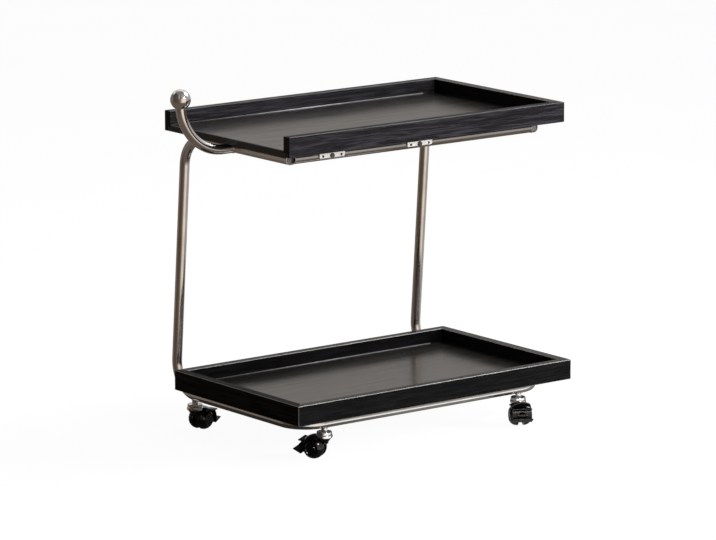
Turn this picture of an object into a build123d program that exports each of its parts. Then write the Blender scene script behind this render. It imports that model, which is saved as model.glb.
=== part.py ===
from build123d import *
import os
from math import cos, radians, sin, sqrt, tan

os.makedirs("parts", exist_ok=True)

# All sizes are in millimetres. The floor is at Z = 0, +Z is up, -Y is the
# long side with no posts, and -X is the end with the handle.

# Trays
TRAY_LENGTH = 650.0
TRAY_WIDTH = 388.0
RAIL_HEIGHT = 38.0
RAIL_THICKNESS = 18.0
RAIL_ARRIS = 1.0
PANEL_THICKNESS = 12.0
PANEL_TONGUE = 8.0
TONGUE_THICKNESS = 8.0
PANEL_PLAY = 0.3
TRAY_SPACING = 493.0
UPPER_TRAY_SHIFT = 25.5

# Tube frame
TUBE_R = 9.5
TUBE_WALL = 1.5
CUT_OVER = 1.0
TRAY_GAP = 4.0
SIDE_TUBE_INSET = 36.3
BASE_FRONT_INSET = 45.3
TOP_FRONT_INSET = 51.9
TOP_END_REACH = 5.5
POST_SETBACK = 46.7
POST_LEAN = 4.43
REAR_BEND_R = 58.0
FRONT_BEND_R = 50.0
BASE_WELD_SETBACK = 110.0
PLUG_LENGTH = 14.0
PLUG_PLAY = 0.05
PLUG_RECESS = 0.6

# Handle
HANDLE_SETBACK = 164.6
HANDLE_RUN = 28.0
HANDLE_BEND_R = 94.0
HANDLE_END = 3.0
BALL_R = 19.0
BALL_LIFT = 4.5
BALL_PLAY = 0.25

# Fixings between the frame and the trays
BOLT_R = 2.5
BOLT_HEAD_R = 4.0
BOLT_HEAD = 2.6
BOLT_SEAT_PLAY = 0.05
BOLT_ACCESS_R = 5.0
BOLT_BITE = 9.0
BOLT_PLAY = 0.3
BOLT_TIP_PLAY = 1.0
SPACER_R = 7.0
LOWER_BOLT_SPAN = 200.0
LOWER_BOLT_MID = 10.0
UPPER_BOLT_SPAN = 190.0
UPPER_BOLT_MID = 15.0

# Angle brackets on the front cross tube
BRACKET_LENGTH = 58.0
BRACKET_SHEET = 2.5
BRACKET_DROP = 17.0
BRACKET_LEG = 21.0
BRACKET_CORNER_R = 2.5
BRACKET_GAP = 0.2
BRACKET_INSET = 91.7
BRACKET_SPACING = 204.5
BRACKET_HOLE_PITCH = 21.0
BRACKET_HOLE_R = 2.6
TUBE_SCREW_R = 2.5
TUBE_SCREW_HEAD_R = 4.6
TUBE_SCREW_HEAD = 2.2
TUBE_SCREW_BITE = 4.0
WOOD_SCREW_R = 2.0
WOOD_SCREW_HEAD_R = 3.8
WOOD_SCREW_HEAD = 1.8
WOOD_SCREW_BITE = 9.0
SCREW_PLAY = 0.3

# Casters, seen along their own +X from the stem to the trailing end
CASTER_HEIGHT = 57.5
FRONT_CASTER_INSET = 56.7
REAR_CASTER_INSET = 61.7
CASTER_TURNS = {"front_left": 124.0, "front_right": -118.0, "rear_left": 16.0, "rear_right": 100.0}
WHEEL_R = 20.0
WHEEL_WIDTH = 15.0
WHEEL_TRAIL = 18.0
WHEEL_TREAD = 1.5
WHEEL_FACE_R = 12.0
WHEEL_EDGE = 0.5
WHEEL_DISH = 1.0
WHEEL_HUB_R = 6.5
AXLE_R = 3.0
AXLE_DEPTH = 10.5
AXLE_TIP_PLAY = 0.5
RUNNING_PLAY = 0.05
SEAT_PLAY = 0.02
WEB_HALF = 5.0
WEB_R = 15.0
SIDE_PLAY = 0.4
ROOF_GAP = 1.8
ROOF_THICKNESS = 3.0
ROOF_HALF = 19.0
ROOF_CROWN = 4.2
ROOF_START = 48.0
ROOF_END = 118.0
BARREL_R = 13.0
BARREL_GAP = 1.0
BARREL_FOOT_R = 6.5
BARREL_LOW = 28.0
BARREL_TAPER_LOW = 30.0
BARREL_TAPER_HIGH = 38.5
RING_LOW = 40.4
RING_HEIGHT = 5.2
RING_R = 15.5
RING_ROUND = 1.6
GROOVE_R = 13.6
GROOVE = 0.6
COLLAR_R = 14.3
SPIGOT_R = 10.0
SPIGOT_HEIGHT = 7.5
RING_PLAY = 0.3
SWIVEL_GAP = 0.3
STEM_R = 3.0
STEM_LOW = 30.5
STEM_NUT_SIZE = 10.0
STEM_NUT = 3.0
SOCKET_R = 5.5
SOCKET_DROP = 2.8
SOCKET_FLOOR = 0.8
SOCKET_PLAY = 0.05
PEDAL_REACH = 26.0
PEDAL_ANGLE = 8.0
PEDAL_HALF = 18.5
PEDAL_SHEET = 2.5
PEDAL_GAP = 2.4
PEDAL_LOW = -22.0
PEDAL_HIGH = 38.0
PEDAL_LOW_TAB = 15.5
PEDAL_HIGH_TAB = 7.0
PEDAL_LOW_SLOPE = 28.0
PEDAL_HIGH_SLOPE = 10.0
PEDAL_LUG_R = 3.4
PEDAL_LUG_OUT = 10.0
PEDAL_PIN_R = 1.5
PEDAL_SLOT = 6.5
NOSE_R = 4.0

# Levels and places that follow from the sizes above
BASE_Z = CASTER_HEIGHT + TUBE_R
LOWER_Z = BASE_Z + TUBE_R + TRAY_GAP
UPPER_Z = LOWER_Z + TRAY_SPACING
TOP_Z = UPPER_Z - TRAY_GAP - TUBE_R
SIDE_X = TRAY_LENGTH / 2 - SIDE_TUBE_INSET
BASE_FRONT_Y = BASE_FRONT_INSET - TRAY_WIDTH / 2
TOP_FRONT_Y = TOP_FRONT_INSET + UPPER_TRAY_SHIFT - TRAY_WIDTH / 2
TOP_END_Y = TOP_FRONT_Y - TOP_END_REACH
POST_BASE_Y = TRAY_WIDTH / 2 + POST_SETBACK
POST_TOP_Y = POST_BASE_Y - (TOP_Z - BASE_Z) * tan(radians(POST_LEAN))
BASE_WELD_Y = BASE_FRONT_Y + BASE_WELD_SETBACK
HANDLE_Y = TOP_FRONT_Y + HANDLE_SETBACK
HANDLE_X = -SIDE_X - HANDLE_RUN - HANDLE_BEND_R
HANDLE_TOP_Z = TOP_Z + HANDLE_BEND_R + HANDLE_END
BALL_Z = HANDLE_TOP_Z + BALL_LIFT
BRACKETS = (BRACKET_INSET - SIDE_X, BRACKET_INSET + BRACKET_SPACING - SIDE_X)
ROOF_R = WHEEL_R + ROOF_GAP
SOCKET_LOW = CASTER_HEIGHT - SOCKET_DROP
STEM_NUT_LOW = SOCKET_LOW - STEM_NUT
COLLAR_TOP = STEM_NUT_LOW - SWIVEL_GAP
PIVOT_X = WHEEL_TRAIL + PEDAL_REACH * cos(radians(PEDAL_ANGLE))
PIVOT_Z = WHEEL_R + PEDAL_REACH * sin(radians(PEDAL_ANGLE))


def rod(points, radius, bend_r=0.0):
    """A round bar along straight runs joined by tangent bends."""
    if bend_r:
        path = FilletPolyline(*points, radius=bend_r)
    else:
        path = Line(*points)
    section = Plane(origin=path @ 0, z_dir=path % 0) * Circle(radius)
    return sweep(section, path=path)


def pipe(points, bend_r=0.0):
    """The same bar with the tube's bore taken out."""
    return rod(points, TUBE_R, bend_r) - rod(points, TUBE_R - TUBE_WALL, bend_r)


def upright(x, y, low, high, radius):
    """A vertical round bar between two levels."""
    return Pos(x, y, low) * extrude(Circle(radius), high - low)


def turned(points):
    """A solid of revolution about Z from (radius, height) points."""
    return revolve(Plane.XZ * make_face(Polyline(*points, close=True)), Axis.Z)


# Trays

def rail_prism(outline, section_plane, section, reach):
    """A rail section run between the mitres of a plan outline."""
    bar = extrude(section_plane * section, reach, both=True)
    return bar & extrude(make_face(Polyline(*outline, close=True)), RAIL_HEIGHT)


def rail_section(side):
    """The rail seen end on: arrises on top, a rebate for the panel below."""
    half = RAIL_THICKNESS / 2
    section = Pos(0, RAIL_HEIGHT / 2) * Rectangle(RAIL_THICKNESS, RAIL_HEIGHT)
    section = chamfer(section.vertices(), RAIL_ARRIS)
    rebate = Pos(side * (half - PANEL_TONGUE / 2), TONGUE_THICKNESS / 2)
    return section - rebate * Rectangle(PANEL_TONGUE, TONGUE_THICKNESS)


def long_rail(side, open_end):
    """The front (-1) or rear (+1) rail, square at an open -X end."""
    x = TRAY_LENGTH / 2
    y = side * TRAY_WIDTH / 2
    inner = side * (TRAY_WIDTH / 2 - RAIL_THICKNESS)
    half = RAIL_ARRIS / 2
    right = [(x - RAIL_ARRIS, y), (x - half, y - side * half), (x - RAIL_THICKNESS, inner)]
    if open_end:
        left = [(-x, inner), (-x, y - side * RAIL_ARRIS), (RAIL_ARRIS - x, y)]
    else:
        left = [(RAIL_THICKNESS - x, inner), (half - x, y - side * half), (RAIL_ARRIS - x, y)]
    plane = Plane(origin=(0, (y + inner) / 2, 0), x_dir=(0, 1, 0), z_dir=(1, 0, 0))
    return rail_prism(right + left, plane, rail_section(-side), x)


def short_rail(side):
    """The left (-1) or right (+1) rail, mitred at both ends."""
    x = side * TRAY_LENGTH / 2
    y = TRAY_WIDTH / 2
    inner = side * (TRAY_LENGTH / 2 - RAIL_THICKNESS)
    half = RAIL_ARRIS / 2
    corner = [(x, y - RAIL_ARRIS), (x - side * half, y - half), (inner, y - RAIL_THICKNESS)]
    outline = corner + [(px, -py) for px, py in reversed(corner)]
    plane = Plane(origin=((x + inner) / 2, 0, 0), x_dir=(1, 0, 0), z_dir=(0, -1, 0))
    return rail_prism(outline, plane, rail_section(-side), y)


def slab(left, right, half, thickness):
    """A flat board from one X to another, as wide to each side of Y = 0."""
    return Pos((left + right) / 2, 0, 0) * extrude(Rectangle(right - left, 2 * half), thickness)


def panel(open_end, holes):
    """The tray's bottom board, its tongue let into the rails, with blind pilot holes."""
    right = TRAY_LENGTH / 2 - RAIL_THICKNESS - PANEL_PLAY
    left = TRAY_LENGTH / 2 if open_end else right
    half = TRAY_WIDTH / 2 - RAIL_THICKNESS - PANEL_PLAY
    board = slab(-left, right, half, PANEL_THICKNESS)
    if open_end:
        board = chamfer(board.edges().filter_by(Axis.Y).group_by(Axis.X)[0].sort_by(Axis.Z)[-1], RAIL_ARRIS)
    else:
        left += PANEL_TONGUE
    board += slab(-left, right + PANEL_TONGUE, half + PANEL_TONGUE, TONGUE_THICKNESS)
    for x, y, radius, depth in holes:
        board -= upright(x, y, 0, depth, radius)
    return board


def bolt_places(mid, span):
    """Where the bolts come up through the side tubes."""
    return [(sx * SIDE_X, mid + sy * span / 2) for sx in (-1, 1) for sy in (-1, 1)]


def wood_screw_places():
    """Where the brackets are screwed up into the upper tray's panel."""
    y = TOP_FRONT_Y - TUBE_R - BRACKET_GAP - (BRACKET_LEG + BRACKET_SHEET) / 2
    return [(x + side * BRACKET_HOLE_PITCH, y) for x in BRACKETS for side in (-1, 1)]


LOWER_BOLTS = bolt_places(LOWER_BOLT_MID, LOWER_BOLT_SPAN)
UPPER_BOLTS = bolt_places(UPPER_BOLT_MID, UPPER_BOLT_SPAN)


def lower_tray():
    depth = BOLT_BITE + BOLT_TIP_PLAY
    holes = [(x, y, BOLT_R + BOLT_PLAY, depth) for x, y in LOWER_BOLTS]
    place = Pos(0, 0, LOWER_Z)
    return {
        "lower_tray_front_rail": place * long_rail(-1, False),
        "lower_tray_rear_rail": place * long_rail(1, False),
        "lower_tray_left_rail": place * short_rail(-1),
        "lower_tray_right_rail": place * short_rail(1),
        "lower_tray_panel": place * panel(False, holes),
    }


def upper_tray():
    shift = UPPER_TRAY_SHIFT
    depth = BOLT_BITE + BOLT_TIP_PLAY
    holes = [(x, y - shift, BOLT_R + BOLT_PLAY, depth) for x, y in UPPER_BOLTS]
    depth = WOOD_SCREW_BITE + BOLT_TIP_PLAY
    holes += [(x, y - shift, WOOD_SCREW_R + SCREW_PLAY, depth) for x, y in wood_screw_places()]
    place = Pos(0, shift, UPPER_Z)
    return {
        "upper_tray_front_rail": place * long_rail(-1, True),
        "upper_tray_rear_rail": place * long_rail(1, True),
        "upper_tray_right_rail": place * short_rail(1),
        "upper_tray_panel": place * panel(True, holes),
    }


# Tube frame

def side_points(side):
    """The corners of one C-shaped side tube."""
    x = side * SIDE_X
    return [(x, TOP_END_Y, TOP_Z), (x, POST_TOP_Y, TOP_Z), (x, POST_BASE_Y, BASE_Z), (x, BASE_WELD_Y, BASE_Z)]


def base_front_points():
    """The corners of the tube around the front of the base."""
    ends = (BASE_WELD_Y, BASE_FRONT_Y)
    left = [(-SIDE_X, y, BASE_Z) for y in ends]
    right = [(SIDE_X, y, BASE_Z) for y in reversed(ends)]
    return left + right


def bolt_holes(places, z):
    """A hole for each shank in the upper wall and for the head in the lower."""
    holes = [upright(x, y, z, z + 2 * TUBE_R, BOLT_R + BOLT_PLAY) for x, y in places]
    holes += [upright(x, y, z - 2 * TUBE_R, z, BOLT_ACCESS_R) for x, y in places]
    return holes


def side_tube(side):
    tube = pipe(side_points(side), REAR_BEND_R)
    on_side = [p for p in UPPER_BOLTS if p[0] * side > 0]
    for hole in bolt_holes(on_side, TOP_Z):
        tube -= hole
    on_base = [p for p in LOWER_BOLTS if p[0] * side > 0 and p[1] > BASE_WELD_Y]
    for hole in bolt_holes(on_base, BASE_Z):
        tube -= hole
    return tube


def base_front_tube():
    tube = pipe(base_front_points(), FRONT_BEND_R)
    for hole in bolt_holes([p for p in LOWER_BOLTS if p[1] < BASE_WELD_Y], BASE_Z):
        tube -= hole
    return tube


def bracket_holes():
    """Where the brackets are pierced for screws into the cross tube."""
    return [x + place * BRACKET_HOLE_PITCH for x in BRACKETS for place in (-1, 0, 1)]


def top_front_tube():
    """The cross tube under the upper tray, coped to the side tubes."""
    tube = pipe([(-SIDE_X, TOP_FRONT_Y, TOP_Z), (SIDE_X, TOP_FRONT_Y, TOP_Z)])
    for side in (-1, 1):
        x = side * SIDE_X
        tube -= rod([(x, TOP_FRONT_Y - 3 * TUBE_R, TOP_Z), (x, TOP_FRONT_Y + 3 * TUBE_R, TOP_Z)], TUBE_R)
    radius = TUBE_SCREW_R + SCREW_PLAY
    front = TOP_FRONT_Y - TUBE_R - CUT_OVER
    for x in bracket_holes():
        tube -= rod([(x, front, TOP_Z), (x, TOP_FRONT_Y, TOP_Z)], radius)
    return tube


def end_plugs():
    """Push-in plugs in the square-cut front ends of the side tubes."""
    radius = TUBE_R - TUBE_WALL - PLUG_PLAY
    plugs = []
    for side in (-1, 1):
        x = side * SIDE_X
        face = TOP_END_Y + PLUG_RECESS
        plug = rod([(x, face, TOP_Z), (x, face + PLUG_LENGTH, TOP_Z)], radius)
        plugs.append(chamfer(plug.edges().group_by(Axis.Y)[0], 1.0))
    return Compound(plugs)


def handle_points(extra):
    """The corners of the handle's arm, with its end raised by a clearance."""
    start = (-SIDE_X, HANDLE_Y, TOP_Z)
    corner = (HANDLE_X, HANDLE_Y, TOP_Z)
    return [start, corner, (HANDLE_X, HANDLE_Y, HANDLE_TOP_Z + extra)]


def handle_tube():
    """The arm that leaves the left side tube and turns straight up."""
    arm = pipe(handle_points(0), HANDLE_BEND_R)
    beside = [(-SIDE_X, HANDLE_Y - 3 * TUBE_R, TOP_Z), (-SIDE_X, HANDLE_Y + 3 * TUBE_R, TOP_Z)]
    return arm - rod(beside, TUBE_R)


def handle_ball():
    """The ball on the arm, bored along the arm's own path."""
    ball = Pos(HANDLE_X, HANDLE_Y, BALL_Z) * Sphere(BALL_R)
    return ball - rod(handle_points(BALL_PLAY), TUBE_R + BALL_PLAY, HANDLE_BEND_R)


# Fixings

def bolts(places, tube_z, tray_z):
    """Bolts whose heads bear inside a tube, up into a tray's panel."""
    bolt_set = []
    seat = sqrt((TUBE_R - TUBE_WALL) ** 2 - BOLT_HEAD_R ** 2) - BOLT_SEAT_PLAY
    high = tube_z + seat
    for x, y in places:
        shank = upright(x, y, high - BOLT_HEAD / 2, tray_z + BOLT_BITE, BOLT_R)
        head = upright(x, y, high - BOLT_HEAD, high, BOLT_HEAD_R)
        head = chamfer(head.edges().group_by(Axis.Z)[0], 1.0)
        bolt_set.append(head + shank)
    return Compound(bolt_set)


def spacers(places, tube_z, tray_z):
    """Saddle spacers between the round tube and the flat panel."""
    spacer_set = []
    for x, y in places:
        block = upright(x, y, tube_z, tray_z, SPACER_R)
        block -= upright(x, y, tube_z - CUT_OVER, tray_z + CUT_OVER, BOLT_R + BOLT_PLAY)
        beneath = [(x, y - 2 * SPACER_R, tube_z), (x, y + 2 * SPACER_R, tube_z)]
        spacer_set.append(block - rod(beneath, TUBE_R))
    return Compound(spacer_set)


def bracket(x):
    """A bent angle: one leg down the front of the tube, one under the tray."""
    back = TOP_FRONT_Y - TUBE_R - BRACKET_GAP
    front = back - BRACKET_SHEET
    plane = Plane(origin=(x, 0, 0), x_dir=(0, 1, 0), z_dir=(1, 0, 0))
    top = UPPER_Z
    under = top - BRACKET_SHEET
    toe = back - BRACKET_LEG - BRACKET_SHEET
    foot = top - BRACKET_DROP
    outline = [(back, top), (back, foot), (front, foot), (front, under), (toe, under), (toe, top)]
    leg = extrude(plane * make_face(Polyline(*outline, close=True)), BRACKET_LENGTH / 2, both=True)
    leg = fillet(leg.edges().filter_by(Axis.Y).group_by(Axis.Z)[0], BRACKET_CORNER_R)
    for place in (-1, 0, 1):
        px = x + place * BRACKET_HOLE_PITCH
        leg -= rod([(px, front - CUT_OVER, TOP_Z), (px, back + CUT_OVER, TOP_Z)], BRACKET_HOLE_R)
    for px, py in wood_screw_places():
        leg -= upright(px, py, under - CUT_OVER, top + CUT_OVER, WOOD_SCREW_R + SCREW_PLAY)
    return leg


def bracket_tube_screws():
    """Pan-head screws through the brackets into the cross tube."""
    screws = []
    front = TOP_FRONT_Y - TUBE_R - BRACKET_GAP - BRACKET_SHEET
    for x in BRACKETS:
        head = rod([(x, front - TUBE_SCREW_HEAD, TOP_Z), (x, front, TOP_Z)], TUBE_SCREW_HEAD_R)
        head = chamfer(head.edges().group_by(Axis.Y)[0], 0.8)
        end = front + BRACKET_SHEET + TUBE_SCREW_BITE
        screws.append(head + rod([(x, front - CUT_OVER, TOP_Z), (x, end, TOP_Z)], TUBE_SCREW_R))
    return Compound(screws)


def bracket_wood_screws():
    """Screws up through the brackets into the upper tray's panel."""
    screws = []
    under = UPPER_Z - BRACKET_SHEET
    for x, y in wood_screw_places():
        head = upright(x, y, under - WOOD_SCREW_HEAD, under, WOOD_SCREW_HEAD_R)
        head = chamfer(head.edges().group_by(Axis.Z)[0], 0.7)
        screws.append(head + upright(x, y, under - CUT_OVER, UPPER_Z + WOOD_SCREW_BITE, WOOD_SCREW_R))
    return Compound(screws)


# Casters, drawn with the stem's axis on Z and the wheels trailing along +X

def polar(radius, angle):
    """A point in the caster's side view, round the wheels' axle."""
    return (WHEEL_TRAIL + radius * cos(radians(angle)), WHEEL_R + radius * sin(radians(angle)))


def band(inner, outer, low, high):
    """A curved strip round the axle in the side view."""
    middle = (low + high) / 2
    face = make_face(
        Line(polar(inner, low), polar(outer, low))
        + ThreePointArc(polar(outer, low), polar(outer, middle), polar(outer, high))
        + Line(polar(outer, high), polar(inner, high))
        + ThreePointArc(polar(inner, high), polar(inner, middle), polar(inner, low))
    )
    return face


def across(face, half):
    """A side-view face given its width, half to each side."""
    return extrude(Plane.XZ * face, half, both=True)


def crosswise(x, z, low, high, radius):
    """A round bar along Y at a point of the side view."""
    return rod([(x, low, z), (x, high, z)], radius)


def roof():
    """The domed mudguard, its crowned section turned round the axle."""
    sagitta = ROOF_CROWN
    inner_r = (ROOF_HALF ** 2 + sagitta ** 2) / (2 * sagitta)
    section = Circle(inner_r + ROOF_THICKNESS) - Circle(inner_r)
    section = Pos(0, ROOF_R - inner_r) * section
    section &= Pos(0, ROOF_R) * Rectangle(2 * ROOF_HALF, 2 * (ROOF_CROWN + ROOF_THICKNESS))
    angle = radians(ROOF_START)
    start = Plane(origin=(WHEEL_TRAIL, 0, WHEEL_R), x_dir=(0, 1, 0), z_dir=(sin(angle), 0, -cos(angle)))
    return revolve(start * section, Axis((WHEEL_TRAIL, 0, WHEEL_R), (0, -1, 0)), ROOF_END - ROOF_START)


def barrel():
    """The tapered housing of the swivel, cleared for the two wheels."""
    outline = [
        (0, BARREL_LOW),
        (BARREL_FOOT_R, BARREL_LOW),
        (BARREL_FOOT_R, BARREL_TAPER_LOW),
        (BARREL_R, BARREL_TAPER_HIGH),
        (BARREL_R, RING_LOW),
        (0, RING_LOW),
    ]
    body = turned(outline)
    for side in (-1, 1):
        body -= crosswise(WHEEL_TRAIL, WHEEL_R, side * WEB_HALF, side * 2 * BARREL_R, WHEEL_R + BARREL_GAP)
    return body


def hood():
    """The body of a caster: web, roof, swivel barrel and pedal nose."""
    web = Pos(WHEEL_TRAIL, WHEEL_R) * Circle(WEB_R)
    web += band(WEB_R / 2, ROOF_R + ROOF_THICKNESS / 2, ROOF_START, ROOF_END)
    corners = [
        (-BARREL_FOOT_R, BARREL_LOW),
        (-BARREL_FOOT_R, RING_LOW),
        (WHEEL_TRAIL, RING_LOW),
        (WHEEL_TRAIL, BARREL_LOW),
    ]
    web += make_face(Polyline(*corners, close=True))
    arm = Pos(PEDAL_REACH / 2, 0) * Rectangle(PEDAL_REACH, 2 * NOSE_R) + Pos(PEDAL_REACH, 0) * Circle(NOSE_R)
    web += Pos(WHEEL_TRAIL, WHEEL_R) * Rot(0, 0, PEDAL_ANGLE) * arm
    body = across(web, WEB_HALF) + roof() + barrel()
    body -= upright(0, 0, RING_LOW, 2 * RING_LOW, RING_R + RING_PLAY)
    body += upright(0, 0, RING_LOW - CUT_OVER, RING_LOW + SPIGOT_HEIGHT, SPIGOT_R)
    body -= upright(0, 0, STEM_LOW - SWIVEL_GAP, 2 * RING_LOW, STEM_R + RUNNING_PLAY)
    body -= crosswise(WHEEL_TRAIL, WHEEL_R, -2 * WEB_HALF, 2 * WEB_HALF, AXLE_R + SEAT_PLAY)
    return body - crosswise(PIVOT_X, PIVOT_Z, -2 * WEB_HALF, 2 * WEB_HALF, PEDAL_PIN_R + RUNNING_PLAY)


def swivel_ring():
    """The bright cap over the spigot: a ring, a groove and a narrower collar."""
    seat = RING_LOW + SPIGOT_HEIGHT + RING_PLAY
    bore = STEM_R + SWIVEL_GAP
    hollow = SPIGOT_R + RING_PLAY
    ledge = RING_LOW + RING_HEIGHT
    outline = [
        (bore, seat),
        (hollow, seat),
        (hollow, RING_LOW),
        (RING_R, RING_LOW),
        (RING_R, ledge),
        (GROOVE_R, ledge),
        (GROOVE_R, ledge + GROOVE),
        (COLLAR_R, ledge + GROOVE),
        (COLLAR_R, COLLAR_TOP),
        (bore, COLLAR_TOP),
    ]
    cap = turned(outline)
    for z in (ledge, COLLAR_TOP):
        rims = cap.edges().filter_by(GeomType.CIRCLE).filter_by_position(Axis.Z, z, z)
        cap = fillet(rims.sort_by(SortBy.RADIUS)[-1], RING_ROUND)
    return cap


def stem():
    """The stud with its hexagon, from the swivel bore up into the socket."""
    stud = upright(0, 0, STEM_LOW, CASTER_HEIGHT - SOCKET_FLOOR - SWIVEL_GAP, STEM_R)
    stud = chamfer(stud.edges().filter_by(GeomType.CIRCLE), 0.5)
    hexagon = RegularPolygon(STEM_NUT_SIZE / 2, 6, major_radius=False)
    return stud + Pos(0, 0, STEM_NUT_LOW) * extrude(hexagon, STEM_NUT)


def axle():
    reach = WEB_HALF + SIDE_PLAY + AXLE_DEPTH
    return crosswise(WHEEL_TRAIL, WHEEL_R, -reach, reach, AXLE_R)


def wheel(side):
    """One of the pair: a domed shoulder, a dished face and a blind bore."""
    bore = AXLE_R + RUNNING_PLAY
    depth = AXLE_DEPTH + AXLE_TIP_PLAY
    face = WHEEL_WIDTH - WHEEL_DISH
    inside = [
        (WHEEL_HUB_R, face),
        (WHEEL_HUB_R - WHEEL_DISH, WHEEL_WIDTH),
        (0, WHEEL_WIDTH),
        (0, depth),
        (bore, depth),
        (bore, 0),
        (WHEEL_R - WHEEL_EDGE, 0),
        (WHEEL_R, WHEEL_EDGE),
        (WHEEL_R, WHEEL_TREAD),
    ]
    shoulder = TangentArc((WHEEL_R, WHEEL_TREAD), (WHEEL_FACE_R, WHEEL_WIDTH), tangent=(0, 1))
    lip = Polyline((WHEEL_FACE_R, WHEEL_WIDTH), (WHEEL_FACE_R - WHEEL_DISH, face), (WHEEL_HUB_R, face))
    section = make_face(Polyline(*inside) + shoulder + lip)
    centre = (WHEEL_TRAIL, side * (WEB_HALF + SIDE_PLAY), WHEEL_R)
    outward = Plane(origin=centre, x_dir=(1, 0, 0), z_dir=(0, side, 0))
    return outward * revolve(Plane.XZ * section, Axis.Z)


def brake_pedal():
    """A rocker behind the wheels: a curved plate with two tabs and a pin."""
    inner = WHEEL_R + PEDAL_GAP
    outer = inner + PEDAL_SHEET
    plate = band(inner, outer, PEDAL_LOW, PEDAL_HIGH)
    low_tab = (PEDAL_LOW, PEDAL_LOW_SLOPE, PEDAL_LOW_TAB)
    high_tab = (PEDAL_HIGH, PEDAL_HIGH_SLOPE, PEDAL_HIGH_TAB)
    for angle, slope, length in (low_tab, high_tab):
        x, z = polar((inner + outer) / 2, angle)
        tab = Pos(length / 2, 0) * SlotOverall(length + PEDAL_SHEET, PEDAL_SHEET)
        plate += Pos(x, z) * Rot(0, 0, slope) * tab
    pedal = across(plate, PEDAL_HALF)
    pedal += crosswise(PIVOT_X, PIVOT_Z, -PEDAL_LUG_OUT, PEDAL_LUG_OUT, PEDAL_LUG_R)
    slot = Pos(PEDAL_REACH, 0) * Rectangle(2 * PEDAL_SLOT, 2 * PEDAL_SLOT)
    slot = Pos(WHEEL_TRAIL, WHEEL_R) * Rot(0, 0, PEDAL_ANGLE) * slot
    pedal -= across(slot, WEB_HALF + SIDE_PLAY)
    return pedal + crosswise(PIVOT_X, PIVOT_Z, -PEDAL_LUG_OUT, PEDAL_LUG_OUT, PEDAL_PIN_R)


def caster_places():
    x = SIDE_X - FRONT_CASTER_INSET
    y = POST_BASE_Y - REAR_CASTER_INSET
    return {
        "front_left": (-x, BASE_FRONT_Y),
        "front_right": (x, BASE_FRONT_Y),
        "rear_left": (-SIDE_X, y),
        "rear_right": (SIDE_X, y),
    }


def caster_sockets():
    """Threaded bosses welded under the base tubes, each cut to its own tube."""
    front = rod(base_front_points(), TUBE_R, FRONT_BEND_R)
    carriers = {
        "front_left": front,
        "front_right": front,
        "rear_left": rod(side_points(-1), TUBE_R, REAR_BEND_R),
        "rear_right": rod(side_points(1), TUBE_R, REAR_BEND_R),
    }
    bosses = []
    for corner, (x, y) in caster_places().items():
        boss = upright(x, y, SOCKET_LOW, BASE_Z, SOCKET_R)
        boss -= upright(x, y, SOCKET_LOW - CUT_OVER, CASTER_HEIGHT - SOCKET_FLOOR, STEM_R + SOCKET_PLAY)
        bosses += (boss - carriers[corner]).solids().sort_by(Axis.Z)[:1]
    return Compound(bosses)


def casters():
    """Four casters, each turned its own way about its stem."""
    pieces = {
        "stem": stem(),
        "swivel_ring": swivel_ring(),
        "hood": hood(),
        "axle": axle(),
        "wheel_a": wheel(1),
        "wheel_b": wheel(-1),
        "brake_pedal": brake_pedal(),
    }
    placed = {}
    for corner, (x, y) in caster_places().items():
        for piece, shape in pieces.items():
            place = Pos(x, y, 0) * Rot(0, 0, CASTER_TURNS[corner])
            placed[f"caster_{corner}_{piece}"] = place * shape
    return placed


parts = {
    "side_tube_left": side_tube(-1),
    "side_tube_right": side_tube(1),
    "base_front_tube": base_front_tube(),
    "top_front_tube": top_front_tube(),
    "tube_end_plugs": end_plugs(),
    "handle_tube": handle_tube(),
    "handle_ball": handle_ball(),
    "lower_tray_bolts": bolts(LOWER_BOLTS, BASE_Z, LOWER_Z),
    "upper_tray_bolts": bolts(UPPER_BOLTS, TOP_Z, UPPER_Z),
    "lower_tray_spacers": spacers(LOWER_BOLTS, BASE_Z, LOWER_Z),
    "upper_tray_spacers": spacers(UPPER_BOLTS, TOP_Z, UPPER_Z),
    "bracket_left": bracket(BRACKETS[0]),
    "bracket_right": bracket(BRACKETS[1]),
    "bracket_tube_screws": bracket_tube_screws(),
    "bracket_wood_screws": bracket_wood_screws(),
    "caster_sockets": caster_sockets(),
}
parts.update(lower_tray())
parts.update(upper_tray())
parts.update(casters())

# The origin goes to the floor under the middle of the whole outline.
boxes = [shape.bounding_box() for shape in parts.values()]
middle_x = (min(b.min.X for b in boxes) + max(b.max.X for b in boxes)) / 2
middle_y = (min(b.min.Y for b in boxes) + max(b.max.Y for b in boxes)) / 2
home = Pos(-middle_x, -middle_y, 0)
for name, shape in parts.items():
    export_step(home * shape, f"parts/{name}.step")
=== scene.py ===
import math

import bpy
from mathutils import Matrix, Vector

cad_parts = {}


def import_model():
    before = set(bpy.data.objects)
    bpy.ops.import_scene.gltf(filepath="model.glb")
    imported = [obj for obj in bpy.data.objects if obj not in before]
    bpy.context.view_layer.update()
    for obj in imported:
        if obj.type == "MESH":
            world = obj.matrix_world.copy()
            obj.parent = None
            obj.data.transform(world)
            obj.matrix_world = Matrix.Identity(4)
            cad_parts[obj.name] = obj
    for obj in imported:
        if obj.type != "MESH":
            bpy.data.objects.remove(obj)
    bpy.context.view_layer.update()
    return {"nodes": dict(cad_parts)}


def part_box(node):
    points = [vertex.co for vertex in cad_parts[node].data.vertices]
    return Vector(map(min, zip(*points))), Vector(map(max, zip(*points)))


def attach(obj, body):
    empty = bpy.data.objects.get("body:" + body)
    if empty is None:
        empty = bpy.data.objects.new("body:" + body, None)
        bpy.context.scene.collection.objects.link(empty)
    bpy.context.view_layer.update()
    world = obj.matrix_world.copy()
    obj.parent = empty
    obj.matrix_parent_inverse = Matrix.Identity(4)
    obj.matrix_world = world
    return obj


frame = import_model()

nodes = frame["nodes"]

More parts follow.
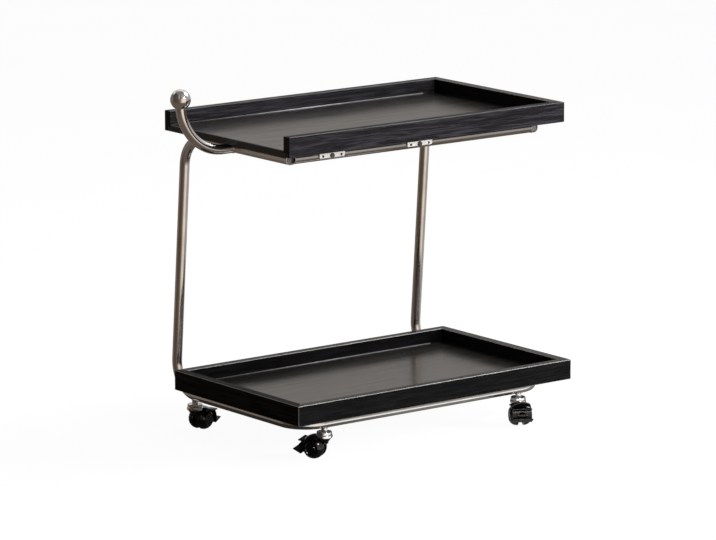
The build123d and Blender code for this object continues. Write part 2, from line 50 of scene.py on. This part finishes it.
# The photograph's camera, in metres and degrees
AZIMUTH = -37.86
ELEVATION = 11.11
DISTANCE = 8.6197
AIM_FROM_TRAY = (-0.01797, 0.01604)
AIM_OVER_TRAY = 0.26233
LENS_MM = 229.97
SENSOR_MM = 36.0
SHIFT = (-0.0044, -0.0303)
VIEW_END = 100.0

# The studio's colours. A stop's place is a turn round the horizon, from behind the table
# by the left, the camera's side and the right to behind it again
WALLS = (
    (0.00, (0.50, 0.47, 0.445)),  # behind the table
    (0.08, (0.26, 0.24, 0.225)),
    (0.14, (0.13, 0.12, 0.11)),
    (0.22, (0.20, 0.165, 0.14)),  # left
    (0.28, (0.085, 0.062, 0.048)),
    (0.42, (0.095, 0.068, 0.050)),
    (0.50, (0.21, 0.165, 0.135)),  # towards the camera
    (0.57, (0.97, 0.81, 0.68)),
    (0.64, (0.97, 0.86, 0.76)),
    (0.68, (0.80, 0.74, 0.68)),
    (0.715, (0.32, 0.31, 0.30)),
    (0.76, (0.42, 0.40, 0.385)),  # right
    (0.84, (0.45, 0.43, 0.41)),
    (1.00, (0.50, 0.47, 0.445)),
)
CEILING = (
    (0.00, (0.85, 0.82, 0.80)),  # behind the table
    (0.15, (0.22, 0.21, 0.20)),
    (0.25, (0.055, 0.05, 0.045)),  # left
    (0.40, (0.10, 0.09, 0.085)),
    (0.46, (0.42, 0.41, 0.40)),
    (0.52, (0.16, 0.15, 0.14)),  # towards the camera
    (0.58, (0.42, 0.41, 0.40)),
    (0.72, (0.45, 0.44, 0.43)),  # right
    (0.84, (0.95, 0.93, 0.91)),
    (1.00, (0.85, 0.82, 0.80)),
)
UNDERFOOT = (0.13, 0.105, 0.085)
ZENITH = (0.24, 0.23, 0.22)
BACKDROP = 0.985

# The heights over which each zone takes over from the one below it: 0 is straight down,
# 0.5 the horizon and 1 straight up
WALLS_START = (0.22, 0.36)
CEILING_START = (0.60, 0.74)
ZENITH_START = (0.90, 0.96)

# The floor, and the card on it that only reflections see. Tones change along the card, which glows
# though it is no lamp: a painted reflection of a white strip of lit floor, and painted shadow under the
# trays
FLOOR_SIZE = 60.0
FLOOR_GLOW = 0.955
FLOOR_ALBEDO = 0.05
FLOOR_UNEVEN = 0.01
CARD = ((-0.42, -0.50), (0.66, 0.30))
CARD_HEIGHT = 0.001
CARD_GLOW = 1.0
CARD_REACH = 0.5
STRIP_END = (-0.275, -0.245)
STRIP_TONES = ((0.06, (0.20, 0.18, 0.165)), (0.14, (1.12, 1.13, 1.14)))
# Painted shadow: the card's dim tones under the trays
PAINTED_SHADOW_TONES = ((0.15, (0.025, 0.022, 0.020)), (0.45, (0.21, 0.205, 0.20)))

# The point that the lights turn to, and the key light's faint warmth
LIGHT_AIM = (0.0, 0.0, 0.35)
KEY_COLOUR = (1.0, 0.98, 0.95)


def plan_direction(degrees):
    """A level unit vector, turned from +X."""
    return (math.cos(math.radians(degrees)), math.sin(math.radians(degrees)), 0.0)


TOWARDS_CAMERA = plan_direction(AZIMUTH - 90.0)
IMAGE_RIGHT = plan_direction(AZIMUTH)
UP = (0.0, 0.0, 1.0)


# Node helpers

# A colour mix node's sockets go by number, since each of its data types has its own A and B
MIX_FACTOR, MIX_A, MIX_B = 0, 6, 7
MIX_RESULT = 2


def rgba(value):
    """A colour with its alpha, from a colour or a grey."""
    colour = (value,) * 3 if isinstance(value, float) else value
    return (*colour, 1.0)


def shade(colour, factor):
    """A colour made darker by a factor."""
    return tuple(factor * part for part in colour)


class Nodes:
    """A short way to build a node tree. A value is a number, a colour or a node's output."""

    def __init__(self, tree):
        self.tree = tree

    def set(self, socket, value):
        """One input linked to an output, or set."""
        if isinstance(value, bpy.types.NodeSocket):
            self.tree.links.new(value, socket)
        else:
            socket.default_value = value

    def fill(self, node, values):
        """Sets inputs by name, with underscores for spaces."""
        for name, value in values.items():
            self.set(node.inputs[name.replace("_", " ")], value)

    def add(self, kind, **values):
        node = self.tree.nodes.new(kind)
        self.fill(node, values)
        return node

    def math(self, operation, *values):
        """One sum, product or other step on numbers and outputs."""
        node = self.add("ShaderNodeMath")
        node.operation = operation
        for socket, value in zip(node.inputs, values):
            self.set(socket, value)
        return node.outputs["Value"]

    def mix(self, factor, a, b):
        """From one colour or grey to another by a factor."""
        node = self.add("ShaderNodeMix")
        node.data_type = "RGBA"
        self.set(node.inputs[MIX_FACTOR], factor)
        for index, value in ((MIX_A, a), (MIX_B, b)):
            linked = isinstance(value, bpy.types.NodeSocket)
            self.set(node.inputs[index], value if linked else rgba(value))
        return node.outputs[MIX_RESULT]

    def ramp(self, factor, stops, ease=False):
        """A colour ramp with (position, grey or colour) stops."""
        node = self.add("ShaderNodeValToRGB", Fac=factor)
        ramp = node.color_ramp
        if ease:
            ramp.interpolation = "EASE"
        while len(ramp.elements) < len(stops):
            ramp.elements.new(0.5)
        for element, (position, value) in zip(ramp.elements, stops):
            element.position = position
            element.color = rgba(value)
        return node.outputs["Color"]

    def rise(self, factor, start, end, top=1.0):
        """A grey that climbs from black to its top while a factor goes from start to end."""
        return self.ramp(factor, ((start, 0.0), (end, top)))


class Finish(Nodes):
    """The node tree of one material."""

    def __init__(self, name):
        self.material = bpy.data.materials.new(name)
        self.material.use_nodes = True
        super().__init__(self.material.node_tree)
        self.shader = self.tree.nodes["Principled BSDF"]
        self.place = self.add("ShaderNodeTexCoord").outputs["Object"]

    def noise(self, scale, detail=4.0, roughness=0.55, distortion=0.0):
        """Noise with one scale, or with one along each axis."""
        scales = (scale,) * 3 if isinstance(scale, float) else scale
        where = self.add("ShaderNodeMapping", Vector=self.place, Scale=scales).outputs["Vector"]
        node = self.add("ShaderNodeTexNoise", Vector=where, Scale=1.0, Detail=detail)
        self.fill(node, {"Roughness": roughness, "Distortion": distortion})
        return node.outputs["Fac"]

    def bump(self, height, strength, distance, normal=None):
        """A normal tilted by a height, on top of another normal if there is one."""
        values = {"Height": height, "Strength": strength, "Distance": distance}
        if normal:
            values["Normal"] = normal
        return self.add("ShaderNodeBump", **values).outputs["Normal"]

    def facing(self):
        """How far a face looks along each axis, without sign."""
        normal = self.add("ShaderNodeNewGeometry").outputs["Normal"]
        parts = self.add("ShaderNodeSeparateXYZ", Vector=normal)
        return [self.math("ABSOLUTE", parts.outputs[axis]) for axis in "XYZ"]

    def finish(self, **values):
        """The material, with its shader's inputs set."""
        self.fill(self.shader, values)
        return self.material


# Materials

# Bump distances in metres
FINE = 0.0002
PORE_DEPTH = 0.0004
DEEP = 0.001

# Where a mask rises: for a face that looks along one axis, and along two at once
FACE_ON = (0.90, 0.97)
BEVEL = (0.20, 0.45)

# The wood's roughness between its light streaks and on them, then in its pores
WOOD_ROUGH = (0.50, 0.30)
PORE_ROUGH = 0.70
PORE_SHADE = 0.3
# End faces darken towards CUT_SHADE of the base: the end grain's own darker tone, and painted shade
CUT_SHADE = 0.1
CUT_SHARE = 0.9

BOARD_TONES = ((0.004, 0.0035, 0.0035), (0.013, 0.0115, 0.011))
BOARD_FIGURE = (0.021, 0.019, 0.0175)
# The board's end faces: their own darker cut tone, and painted shade
BOARD_CUT_AND_SHADE = (0.001, 0.001, 0.001)
BOARD_ROUGH = (0.12, 0.18)
BOARD_PORE_ROUGH = 0.26

TUBE_SHADE = 0.84
METAL_SHADE = 0.78
COAT_ROUGH = 0.05
COATED_SPECULAR = 0.15
PLAIN_SPECULAR = 0.5
ZINC_TONES = ((0.88, 0.87, 0.85), (0.76, 0.75, 0.73))
ZINC_ROUGH = (0.34, 0.48)
ZINC_METALLIC = 0.45


def lengthwise(grain, along, across):
    """A noise scale drawn out along one axis."""
    return tuple(along if axis == grain else across for axis in "XYZ")


def arris_mask(n):
    """One on the narrow bevels along the edges of a rail, zero on its faces."""
    x, y, z = n.facing()
    level = n.math("MULTIPLY", n.math("MAXIMUM", x, y), z)
    corner = n.math("MULTIPLY", x, y)
    return n.rise(n.math("MAXIMUM", level, corner), *BEVEL)


def black_wood(name, grain, base, streak, painted_arris_highlight, arris_rough, sheen, rim=None):
    """Open-grain wood stained black, with a painted highlight on its edge bevels. grain is its axis and
    rim the roughness of its top.
    """
    n = Finish(name)
    pores = n.noise(lengthwise(grain, 14.0, 520.0), detail=4.0, roughness=0.6, distortion=0.2)
    figure = n.noise(lengthwise(grain, 9.0, 170.0), detail=5.0, roughness=0.62, distortion=0.8)
    cloud = n.noise(lengthwise(grain, 3.0, 22.0), detail=2.0)
    open_pore = n.rise(pores, 0.40, 0.52)
    light_streak = n.rise(figure, 0.45, 0.58)
    edge = arris_mask(n)
    # Darker end faces: end grain, and painted shade
    end_grain_and_painted_shade = n.rise(n.facing()["XYZ".index(grain)], *FACE_ON, CUT_SHARE)
    # Painted highlight: the edge bevels turn a lighter colour, broken up at random, for the highlight
    # line along them
    painted_edge_highlight = n.math("MULTIPLY", edge, n.ramp(cloud, ((0.3, 0.7), (0.6, 1.0))))

    colour = n.mix(light_streak, base, streak)
    colour = n.mix(n.rise(cloud, 0.35, 0.7, 0.25), colour, base)
    colour = n.mix(open_pore, shade(base, PORE_SHADE), colour)
    colour = n.mix(end_grain_and_painted_shade, colour, shade(base, CUT_SHADE))
    colour = n.mix(painted_edge_highlight, colour, painted_arris_highlight)

    rough = n.mix(light_streak, *WOOD_ROUGH)
    rough = n.mix(open_pore, PORE_ROUGH, rough)
    if rim:
        rough = n.mix(n.rise(n.facing()[2], *FACE_ON), rough, rim)
    rough = n.mix(edge, rough, arris_rough)

    normal = n.bump(open_pore, 0.5, PORE_DEPTH)
    normal = n.bump(figure, 0.3, DEEP, normal)
    return n.finish(Base_Color=colour, Roughness=rough, Normal=normal, Specular_IOR_Level=sheen)


def lacquered_board(name):
    """The trays' bottoms: smooth black lacquer over a faint grain."""
    n = Finish(name)
    pores = n.noise(lengthwise("X", 7.0, 300.0), detail=5.0, roughness=0.65, distortion=0.3)
    figure = n.noise(lengthwise("X", 2.5, 60.0), detail=3.0, distortion=1.0)
    haze = n.noise(lengthwise("X", 6.0, 9.0), detail=5.0, roughness=0.6)
    fine = n.rise(pores, 0.38, 0.6)
    # Darker end faces of the board: cut edge, and painted shade
    cut_edge_and_painted_shade = n.rise(n.facing()[0], *FACE_ON, CUT_SHARE)

    colour = n.mix(fine, *BOARD_TONES)
    colour = n.mix(n.rise(figure, 0.4, 0.7, 0.6), colour, BOARD_FIGURE)
    colour = n.mix(cut_edge_and_painted_shade, colour, BOARD_CUT_AND_SHADE)

    rough = n.mix(n.rise(haze, 0.3, 0.7), *BOARD_ROUGH)
    rough = n.mix(fine, BOARD_PORE_ROUGH, rough)
    normal = n.bump(fine, 0.05, FINE)
    return n.finish(Base_Color=colour, Roughness=rough, Normal=normal, Specular_IOR_Level=PLAIN_SPECULAR)


def satin_steel(name, base, rough):
    """Polished stainless tube: fine draw lines, faint smudges, a warm tint."""
    n = Finish(name)
    lines = n.noise(lengthwise("Z", 9.0, 900.0), detail=3.0)
    smudge = n.noise(26.0, detail=5.0, roughness=0.6)
    colour = n.mix(n.rise(smudge, 0.35, 0.7), base, shade(base, TUBE_SHADE))
    blur = n.mix(n.rise(smudge, 0.3, 0.75), *rough)
    normal = n.bump(lines, 0.02, FINE)
    return n.finish(Base_Color=colour, Metallic=1.0, Roughness=blur, Normal=normal)


def bright_metal(name, base, rough, scratch=0.04, waves=0.0):
    """Plated or polished small metal, with hairline scratches, dulled spots and faint waves."""
    n = Finish(name)
    spots = n.noise(180.0)
    hair = n.noise((1400.0, 90.0, 700.0), detail=2.0)
    colour = n.mix(n.rise(spots, 0.45, 0.75), base, shade(base, METAL_SHADE))
    blur = n.mix(n.rise(spots, 0.3, 0.7), *rough)
    normal = n.bump(hair, scratch, FINE)
    if waves:
        normal = n.bump(n.noise(95.0, detail=2.0), waves, DEEP, normal)
    return n.finish(Base_Color=colour, Metallic=1.0, Roughness=blur, Normal=normal)


def moulded_plastic(name, base, rough, dust, coat=0.0):
    """Moulded plastic: a fine skin texture, scuffs and a little dust."""
    n = Finish(name)
    skin = n.noise(1100.0, detail=2.0)
    scuffs = n.noise((60.0, 140.0, 90.0), detail=6.0, roughness=0.7)
    dusty = tuple(part + dust for part in base)
    n.finish(
        Base_Color=n.mix(n.rise(scuffs, 0.5, 0.8), base, dusty),
        Roughness=n.mix(n.rise(scuffs, 0.35, 0.75), *rough),
        Normal=n.bump(skin, 0.06, FINE),
    )
    specular = COATED_SPECULAR if coat else PLAIN_SPECULAR
    return n.finish(Coat_Weight=coat, Coat_Roughness=COAT_ROUGH, Specular_IOR_Level=specular)


def zinc_plate(name):
    """Pale, slightly cloudy plating on bent sheet."""
    n = Finish(name)
    cloud = n.noise(120.0)
    hair = n.noise(lengthwise("X", 60.0, 900.0), detail=2.0)
    colour = n.mix(n.rise(cloud, 0.4, 0.7), *ZINC_TONES)
    rough = n.mix(n.rise(cloud, 0.3, 0.7), *ZINC_ROUGH)
    normal = n.bump(hair, 0.08, FINE)
    return n.finish(Base_Color=colour, Metallic=ZINC_METALLIC, Roughness=rough, Normal=normal)


# Lit and shaded copies of the one black wood, painted light and shade: the lit copy is lighter; the
# shaded copy is darker and serves the lower tray and the upper tray's right rail. Their arris colours
# are painted highlights on the edge bevels
LIT_WOOD_TONES = {
    "base": (0.006, 0.0055, 0.007),
    "streak": (0.025, 0.0236, 0.0296),
    "painted_arris_highlight": 0.04,
    "arris_rough": 0.48,
    "sheen": 0.2,
}
SHADED_WOOD_TONES = {
    "base": (0.0008, 0.0007, 0.0008),
    "streak": (0.0045, 0.0042, 0.005),
    "painted_arris_highlight": 0.22,
    "arris_rough": 0.28,
    "sheen": 0.1,
}
CASTER_BLACK = (0.002, 0.002, 0.0025)
WHEEL_BLACK = (0.0025, 0.0025, 0.003)

MATERIALS = {
    # The upper tray's front and long rails take the lit copy of the wood, the rest the shaded copy:
    # painted light and shade
    "upper_front": black_wood("black_wood_upper_front", "X", rim=0.75, **LIT_WOOD_TONES),
    "upper_x": black_wood("black_wood_upper_long", "X", **LIT_WOOD_TONES),
    "upper_y": black_wood("black_wood_upper_short", "Y", rim=0.22, **SHADED_WOOD_TONES),
    "lower_x": black_wood("black_wood_lower_long", "X", rim=0.26, **SHADED_WOOD_TONES),
    "lower_y": black_wood("black_wood_lower_short", "Y", rim=0.22, **SHADED_WOOD_TONES),
    "lower_left": black_wood("black_wood_lower_left", "Y", rim=0.6, **SHADED_WOOD_TONES),
    "panel": lacquered_board("black_lacquered_board"),
    "tube": satin_steel("satin_stainless_tube", (0.84, 0.815, 0.79), (0.12, 0.20)),
    "ball": bright_metal("polished_ball", (0.84, 0.825, 0.81), (0.05, 0.12), scratch=0.05, waves=0.35),
    "chrome": bright_metal("bright_chrome", (0.88, 0.88, 0.88), (0.05, 0.12)),
    "bracket": zinc_plate("bright_zinc"),
    "fastener": bright_metal("fastener_steel", (0.62, 0.61, 0.59), (0.22, 0.42)),
    "screw": bright_metal("dark_screw_steel", (0.20, 0.19, 0.18), (0.25, 0.45)),
    "bead": bright_metal("worn_metal_bead", (0.30, 0.30, 0.31), (0.50, 0.60)),
    "plug": moulded_plastic("grey_plug_plastic", (0.10, 0.10, 0.105), (0.30, 0.45), dust=0.03),
    "nylon": moulded_plastic("black_nylon", (0.020, 0.020, 0.020), (0.45, 0.65), dust=0.02),
    "caster": moulded_plastic("gloss_black_plastic", CASTER_BLACK, (0.07, 0.20), dust=0.004, coat=1.0),
    "pedal": moulded_plastic("satin_black_plastic", CASTER_BLACK, (0.28, 0.42), dust=0.004),
    "wheel": moulded_plastic("wheel_black_plastic", WHEEL_BLACK, (0.12, 0.26), dust=0.006, coat=1.0),
}

# The first of these words found in a node's name decides its finish
FINISH_BY_WORD = (
    ("lower_tray_left_rail", "lower_left"),
    ("lower_tray_right_rail", "lower_y"),
    ("upper_tray_right_rail", "upper_y"),
    ("upper_tray_front_rail", "upper_front"),
    ("upper_tray_rear_rail", "upper_x"),
    ("_rail", "lower_x"),
    ("_panel", "panel"),
    ("_hood", "caster"),
    ("brake_pedal", "pedal"),
    ("_wheel_", "wheel"),
    ("swivel_ring", "chrome"),
    ("handle_ball", "ball"),
    ("tube_screws", "screw"),
    ("wood_screws", "fastener"),
    ("bolts", "fastener"),
    ("_axle", "fastener"),
    ("_stem", "chrome"),
    ("bracket", "bracket"),
    ("spacers", "nylon"),
    ("tube_end_plugs", "plug"),
)


def material_for(name):
    for word, finish in FINISH_BY_WORD:
        if word in name:
            return MATERIALS[finish]
    return MATERIALS["tube"]


def dress_cad_nodes():
    """Every CAD node gets its finish through its slots."""
    for name, node in nodes.items():
        finish = material_for(name)
        if not node.material_slots:
            node.data.materials.append(finish)
        for place in node.material_slots:
            place.material = finish


# Thin trim and welds

MM = 0.001
TUBE_R = 9.5 * MM
SOCKET_R = 5.5 * MM
BEAD_R = 1.2 * MM
BEAD_START = 2.0 * MM
BEAD_END = 29.0 * MM
BEAD_PLAY = 0.1 * MM
BEAD_SEAT = 0.02 * MM
BEAD_STEPS = 6
WELD_R = 1.1 * MM
SMALL_WELD_R = 0.9 * MM
WELD_LIFT = 0.4 * MM
WELD_RINGS = 96
WELD_SIDES = 10

# The ripples round a weld, their share of its radius, and a small turn along it in radians
WELD_RIPPLES = 30
RIPPLE = 0.12
NUDGE = 0.01

ALONG_X = (1.0, 0.0, 0.0)
ALONG_Y = (0.0, 1.0, 0.0)
DOWN = (0.0, 0.0, -1.0)


def new_object(name, data):
    item = bpy.data.objects.new(name, data)
    bpy.context.scene.collection.objects.link(item)
    return item


def mesh_piece(name, points, faces, finish):
    """A mesh object that rides on the frame, smooth but for its end caps."""
    mesh = bpy.data.meshes.new(name)
    mesh.from_pydata(points, [], faces)
    for polygon in mesh.polygons:
        polygon.use_smooth = len(polygon.vertices) == 4
    mesh.materials.append(MATERIALS[finish])
    piece = new_object(name, mesh)
    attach(piece, "frame")


def inner_bead(tray):
    """The slim bead along the foot of a tray's rear rail, a quarter round in section."""
    rail_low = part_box(tray + "_rear_rail")[0]
    panel_low, panel_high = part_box(tray + "_panel")
    right_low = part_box(tray + "_right_rail")[0]
    start = panel_low[0] + BEAD_START
    if tray == "lower_tray":
        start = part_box("lower_tray_left_rail")[1][0] + BEAD_PLAY
    end = right_low[0] - BEAD_END
    corner_y = rail_low[1] - BEAD_SEAT
    corner_z = panel_high[2] + BEAD_SEAT
    arc = [math.radians(90.0 / BEAD_STEPS * step) for step in range(BEAD_STEPS + 1)]
    outline = [(corner_y, corner_z)]
    outline += [(corner_y - BEAD_R * math.cos(a), corner_z + BEAD_R * math.sin(a)) for a in arc]
    count = len(outline)
    points = [(x, y, z) for x in (start, end) for y, z in outline]
    faces = [(k, (k + 1) % count, count + (k + 1) % count, count + k) for k in range(count)]
    faces += [tuple(reversed(range(count))), tuple(range(count, 2 * count))]
    mesh_piece(tray + "_inner_bead", points, faces, "bead")


def saddle_weld(name, centre, axis, out, branch_r, bead_r):
    """A rippled weld bead where a round branch leaves a tube. out is the branch's way."""
    centre, axis, out = Vector(centre), Vector(axis), Vector(out)
    side = out.cross(axis)
    main_r = TUBE_R + WELD_LIFT

    def on_path(turn):
        depth = math.sqrt(main_r ** 2 - (branch_r * math.sin(turn)) ** 2)
        round_branch = branch_r * (math.cos(turn) * axis + math.sin(turn) * side)
        return centre + round_branch + depth * out

    points = []
    for ring in range(WELD_RINGS):
        turn = 2 * math.pi * ring / WELD_RINGS
        here = on_path(turn)
        ahead = (on_path(turn + NUDGE) - on_path(turn - NUDGE)).normalized()
        across = ahead.cross(out).normalized()
        rise = across.cross(ahead)
        size = bead_r * (1.0 + RIPPLE * math.sin(turn * WELD_RIPPLES))
        for k in range(WELD_SIDES):
            a = 2 * math.pi * k / WELD_SIDES
            points.append(here + size * (math.cos(a) * across + math.sin(a) * rise))
    faces = []
    for ring in range(WELD_RINGS):
        row = ring * WELD_SIDES
        after = (ring + 1) % WELD_RINGS * WELD_SIDES
        for k in range(WELD_SIDES):
            step = (k + 1) % WELD_SIDES
            faces.append((row + k, row + step, after + step, after + k))
    mesh_piece(name, points, faces, "tube")


def welds():
    """The welds of the handle arm, the top cross tube and the casters' sockets."""
    side_low, side_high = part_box("side_tube_left")
    left_x = side_low[0] + TUBE_R
    right_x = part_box("side_tube_right")[1][0] - TUBE_R
    top_z = side_high[2] - TUBE_R
    base_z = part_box("base_front_tube")[0][2] + TUBE_R
    handle_low, handle_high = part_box("handle_tube")
    handle_y = (handle_low[1] + handle_high[1]) / 2
    saddle_weld("weld_handle", (left_x, handle_y, top_z), ALONG_Y, (-1.0, 0.0, 0.0), TUBE_R, WELD_R)
    cross_low, cross_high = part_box("top_front_tube")
    cross_y = (cross_low[1] + cross_high[1]) / 2
    for name, x, way in (("left", left_x, 1.0), ("right", right_x, -1.0)):
        saddle_weld("weld_cross_" + name, (x, cross_y, top_z), ALONG_Y, (way, 0.0, 0.0), TUBE_R, WELD_R)
    for corner in ("front_left", "front_right", "rear_left", "rear_right"):
        low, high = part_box("caster_" + corner + "_stem")
        spot = ((low[0] + high[0]) / 2, (low[1] + high[1]) / 2, base_z)
        axis = ALONG_X if corner.startswith("front") else ALONG_Y
        saddle_weld("weld_socket_" + corner, spot, axis, DOWN, SOCKET_R, SMALL_WELD_R)


# Stage

def sheet(name, low, high, height):
    """A level rectangle between two corners."""
    (left, near), (right, far) = low, high
    mesh = bpy.data.meshes.new(name)
    corners = [(left, near, height), (right, near, height), (right, far, height), (left, far, height)]
    mesh.from_pydata(corners, [], [(0, 1, 2, 3)])
    return new_object(name, mesh)


def floor():
    """A plain white floor that glows evenly and keeps a faint soft shadow."""
    half = FLOOR_SIZE / 2
    plane = sheet("floor", (-half, -half), (half, half), 0.0)
    n = Finish("pale_floor")
    tone = n.ramp(n.noise(2.0), ((0.3, FLOOR_ALBEDO - FLOOR_UNEVEN), (0.7, FLOOR_ALBEDO)))
    n.finish(Base_Color=tone, Roughness=0.9, Specular_IOR_Level=0.0)
    plane.data.materials.append(n.finish(Emission_Color=rgba(1.0), Emission_Strength=FLOOR_GLOW))
    plane.visible_glossy = False
    plane.visible_diffuse = False


def floor_card():
    """What the low tubes mirror: a glowing sheet, no lamp, that paints a reflection of a white strip
    before the long side and painted shadow, dim, under the trays.

    What lies further off than CARD_REACH glows with the studio's dark underfoot tone instead, a painted
    reflection of a dark floor.
    """
    low, high = CARD
    card = sheet("floor_card", low, high, CARD_HEIGHT)
    n = Finish("card")
    place = n.add("ShaderNodeSeparateXYZ", Vector=n.place)

    def along(axis, start, end):
        span = n.add("ShaderNodeMapRange", Value=place.outputs[axis], From_Min=start, From_Max=end)
        return span.outputs["Result"]

    across = along("X", low[0], high[0])
    strip = n.ramp(along("Y", *STRIP_END), ((0.0, 1.0), (1.0, 0.0)))
    # Painted shadow under the trays, and a painted reflection of lit floor in the white strip
    tones = n.mix(strip, n.ramp(across, PAINTED_SHADOW_TONES), n.ramp(across, STRIP_TONES))
    near_by = n.math("LESS_THAN", n.add("ShaderNodeLightPath").outputs["Ray Length"], CARD_REACH)
    glow = n.mix(near_by, UNDERFOOT, tones)
    n.finish(Base_Color=rgba(0.0), Specular_IOR_Level=0.0)
    card.data.materials.append(n.finish(Emission_Color=glow, Emission_Strength=CARD_GLOW))
    card.visible_camera = False
    card.visible_diffuse = False
    card.visible_shadow = False


def world():
    """A soft studio: dark on the left, a warm wall at the front right, a bright ceiling behind."""
    studio = bpy.data.worlds.new("studio")
    bpy.context.scene.world = studio
    studio.use_nodes = True
    n = Nodes(studio.node_tree)
    ray = n.add("ShaderNodeTexCoord").outputs["Generated"]

    def along(direction):
        """How far a ray goes along a direction, from -1 to 1."""
        node = n.add("ShaderNodeVectorMath")
        node.operation = "DOT_PRODUCT"
        n.set(node.inputs[0], ray)
        n.set(node.inputs[1], direction)
        return node.outputs["Value"]

    turn = n.math("ARCTAN2", along(IMAGE_RIGHT), along(TOWARDS_CAMERA))
    turn = n.math("MULTIPLY", n.math("ADD", turn, math.pi), 0.5 / math.pi)
    height = n.math("MULTIPLY", n.math("ADD", along(UP), 1.0), 0.5)

    def fade(start, end, low, high):
        return n.ramp(height, ((start, low), (end, high)), ease=True)

    walls = n.ramp(turn, WALLS, ease=True)
    ceiling = n.ramp(turn, CEILING, ease=True)
    sky = n.mix(fade(*CEILING_START, 0.0, 1.0), walls, ceiling)
    sky = n.mix(fade(*ZENITH_START, 0.0, 1.0), sky, ZENITH)
    sky = n.mix(fade(*WALLS_START, 1.0, 0.0), sky, UNDERFOOT)
    seen = n.add("ShaderNodeLightPath").outputs["Is Camera Ray"]
    background = n.tree.nodes["Background"]
    n.set(background.inputs["Color"], n.mix(seen, sky, BACKDROP))


def studio_spot(turn, height, distance):
    """A point seen from the lights' aim, at a turn from the camera and a height in degrees."""
    level = distance * math.cos(math.radians(height))
    spot = level * math.cos(math.radians(turn)) * Vector(TOWARDS_CAMERA)
    spot += level * math.sin(math.radians(turn)) * Vector(IMAGE_RIGHT)
    return spot + Vector((0.0, 0.0, LIGHT_AIM[2] + distance * math.sin(math.radians(height))))


def softbox(name, spot, size, watts, colour=(1.0, 1.0, 1.0), mirrored=True):
    """A rectangular area light turned to the lights' aim, seen in reflections or not."""
    light = bpy.data.lights.new(name, "AREA")
    light.shape = "RECTANGLE"
    light.size, light.size_y = size
    light.energy = watts
    light.color = colour
    lamp = new_object(name, light)
    lamp.location = spot
    lamp.rotation_mode = "QUATERNION"
    lamp.rotation_quaternion = (Vector(LIGHT_AIM) - Vector(spot)).to_track_quat("-Z", "Y")
    lamp.visible_camera = False
    lamp.visible_glossy = mirrored


def lights():
    """Three softboxes that the metal mirrors, and a low one that it doesn't."""
    softbox("key_light", studio_spot(42.0, 32.0, 3.2), (0.9, 0.5), watts=36.0, colour=KEY_COLOUR)
    softbox("right_strip", studio_spot(110.0, 51.0, 3.0), (1.4, 1.1), watts=85.0)
    softbox("left_strip", studio_spot(-128.0, 37.0, 3.0), (1.2, 0.9), watts=2.2)
    softbox("low_light", studio_spot(88.0, 9.0, 3.0), (1.2, 0.8), watts=165.0, mirrored=False)


def camera():
    """The photograph's camera, placed from the lower tray's panel."""
    a, e = math.radians(AZIMUTH), math.radians(ELEVATION)
    back = Vector((math.sin(a) * math.cos(e), -math.cos(a) * math.cos(e), math.sin(e)))
    data = bpy.data.cameras.new("camera")
    data.lens = LENS_MM
    data.sensor_width = SENSOR_MM
    data.shift_x, data.shift_y = SHIFT
    data.clip_end = VIEW_END
    low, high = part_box("lower_tray_panel")
    aim = (Vector(low) + Vector(high)) / 2
    aim += Vector((*AIM_FROM_TRAY, 0.0))
    aim.z = low[2] + AIM_OVER_TRAY
    eye = new_object("camera", data)
    eye.location = aim + DISTANCE * back
    eye.rotation_mode = "QUATERNION"
    eye.rotation_quaternion = (-back).to_track_quat("-Z", "Y")
    bpy.context.scene.camera = eye


dress_cad_nodes()
inner_bead("upper_tray")
inner_bead("lower_tray")
welds()
floor()
floor_card()
world()
lights()
camera()
bpy.context.scene.view_settings.view_transform = "Standard"
